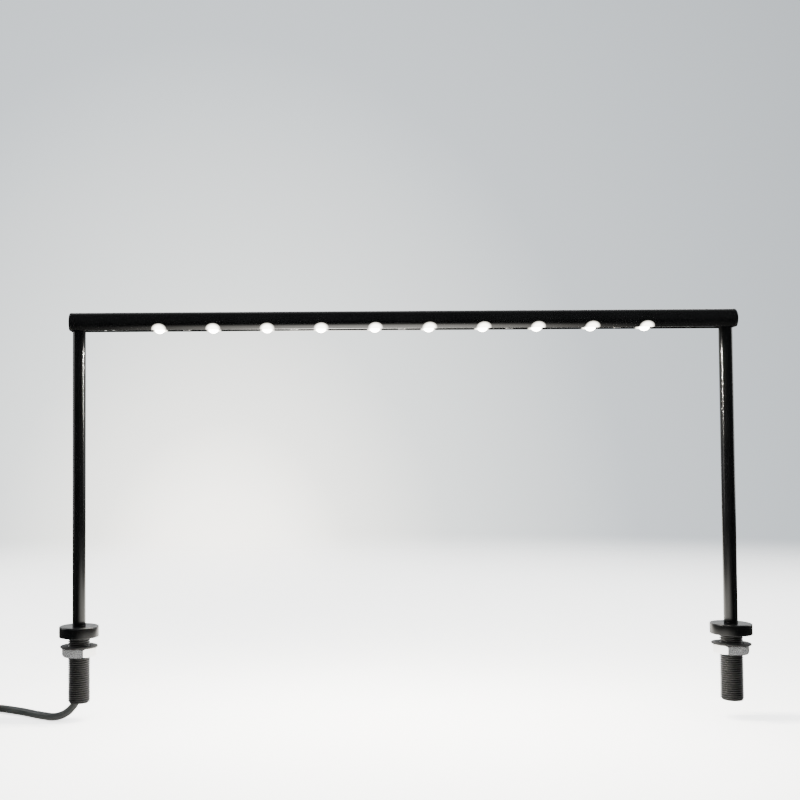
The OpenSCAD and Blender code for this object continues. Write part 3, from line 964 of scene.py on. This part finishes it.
def add_floor():
    """A pale floor that melts into the backdrop further away from the lamp."""
    mesh = bpy.data.meshes.new("floor")
    half, z = FLOOR_HALF, FLOOR_Z * MM
    corners = [(-half, -half, z), (half, -half, z), (half, half, z), (-half, half, z)]
    mesh.from_pydata(corners, [], [(0, 1, 2, 3)])
    floor = bpy.data.objects.new("floor", mesh)
    scene.collection.objects.link(floor)
    made = Shader(bpy.data.materials.new("floor_matt")).set(
        Roughness=0.7, Specular_IOR_Level=0.15, Emission_Strength=FLOOR_LIFT)
    tint = made.colours(made.noise(made.coordinates(), 30), (0.86, 0.86, 0.85), (0.88, 0.88, 0.87))
    made.link(tint, made.principled.inputs["Base Color"])
    made.link(tint, made.principled.inputs["Emission Color"])

    x, y, _ = made.place()
    across = made.spread(made.compute("ABSOLUTE", x), (*SHINE_ACROSS, SHINE_MOST, SHINE_LEAST))
    along = made.spread(y, (*SHINE_ALONG, 0, 1))
    shine = made.node("ShaderNodeEmission")
    shine.inputs["Color"].default_value = (1.0, 0.97, 0.9, 1)
    made.link(made.compute("MULTIPLY", across, along), shine.inputs["Strength"])
    rays = made.node("ShaderNodeLightPath").outputs
    shown = made.mix(rays["Is Glossy Ray"], made.principled.outputs[0], shine.outputs[0])

    distance = made.node("ShaderNodeVectorMath", operation="LENGTH")
    made.link(made.coordinates(), distance.inputs[0])
    fade = made.spread(distance.outputs["Value"], (*FLOOR_FADE, 0, 1))
    clear = made.node("ShaderNodeBsdfTransparent")
    ends = made.mix(made.compute("MULTIPLY", fade, rays["Is Camera Ray"]), shown, clear.outputs[0])
    made.link(ends, made.tree.nodes["Material Output"].inputs["Surface"])
    mesh.materials.append(made.material)


def add_sky():
    """A pale backdrop that glows behind the lamp. What it shows, what it lights and what shines
    in the dark parts are set apart."""
    world = bpy.data.worlds.new("studio_sky")
    scene.world = world
    world.use_nodes = True
    world.node_tree.nodes.clear()
    sky = Nodes(world.node_tree)

    direction = sky.node("ShaderNodeTexCoord").outputs["Generated"]
    stretched = sky.node("ShaderNodeVectorMath", operation="MULTIPLY")
    sky.link(direction, stretched.inputs[0])
    stretched.inputs[1].default_value = GLOW_STRETCH
    away = sky.node("ShaderNodeVectorMath", operation="DISTANCE")
    sky.link(stretched.outputs["Vector"], away.inputs[0])
    away.inputs[1].default_value = Vector(GLOW_CENTRE).normalized() * Vector(GLOW_STRETCH)
    ramp = sky.node("ShaderNodeValToRGB")
    stops = ramp.color_ramp.elements
    while len(stops) < len(GLOW):
        stops.new(0.5)
    for stop, (place, colour) in zip(stops, GLOW):
        stop.position = place
        stop.color = (*(c / GLOW_SCALE for c in colour), 1)
    sky.link(away.outputs["Value"], ramp.inputs["Fac"])
    split = sky.node("ShaderNodeSeparateXYZ")
    sky.link(direction, split.inputs[0])
    behind = sky.spread(split.outputs["Y"], (0.0, 0.9, GLOSS_AROUND, GLOSS_BEHIND))
    seen, fill, gloss = (sky.node("ShaderNodeBackground") for _ in range(3))
    sky.link(ramp.outputs["Color"], seen.inputs["Color"])
    seen.inputs["Strength"].default_value = GLOW_SCALE
    fill.inputs["Color"].default_value = SKY_COLOUR
    fill.inputs["Strength"].default_value = SKY_FILL
    gloss.inputs["Color"].default_value = SKY_COLOUR
    sky.link(behind, gloss.inputs["Strength"])
    rays = sky.node("ShaderNodeLightPath").outputs
    lights = sky.mix(rays["Is Glossy Ray"], fill.outputs[0], gloss.outputs[0])
    shown = sky.mix(rays["Is Camera Ray"], lights, seen.outputs[0])
    sky.link(shown, sky.node("ShaderNodeOutputWorld").inputs["Surface"])


def add_light(name, place, size, power, colour=(1, 1, 1), aim=None, glossy=True):
    """A soft rectangular light, or a round one that points down when no aim is given; place,
    size and aim are in metres."""
    data = bpy.data.lights.new(name, "AREA")
    if aim:
        data.shape = "RECTANGLE"
        data.size, data.size_y = size
    else:
        data.shape = "DISK"
        data.size = size
    data.energy = power
    data.color = colour
    light = bpy.data.objects.new(name, data)
    light.location = place
    if aim:
        light.rotation_euler = (Vector(aim) - Vector(place)).to_track_quat("-Z", "Y").to_euler()
    light.visible_glossy = glossy
    light.visible_camera = False
    scene.collection.objects.link(light)


add_floor()
add_sky()
add_light("key", (-0.6, -0.9, 1.0), (0.9, 0.9), 10, aim=(0, 0, 0.05), glossy=False)
add_light("side_left", (-0.9, 0.1, 0.35), (0.3, 0.8), 3, aim=(0, 0, 0.07))
add_light("side_right", (0.9, 0.25, 0.4), (0.3, 0.8), 3, aim=(0, 0, 0.07))
add_light("back", (0.1, 1.1, 0.7), (1.2, 0.5), 5, aim=(0, 0, 0.06))
for i, x in enumerate(led_places()):
    add_light(f"led_{i}", Vector((x, 0, LENS_LOW - 0.3)) * MM, 4 * MM, 0.22, (1.0, 0.95, 0.86))
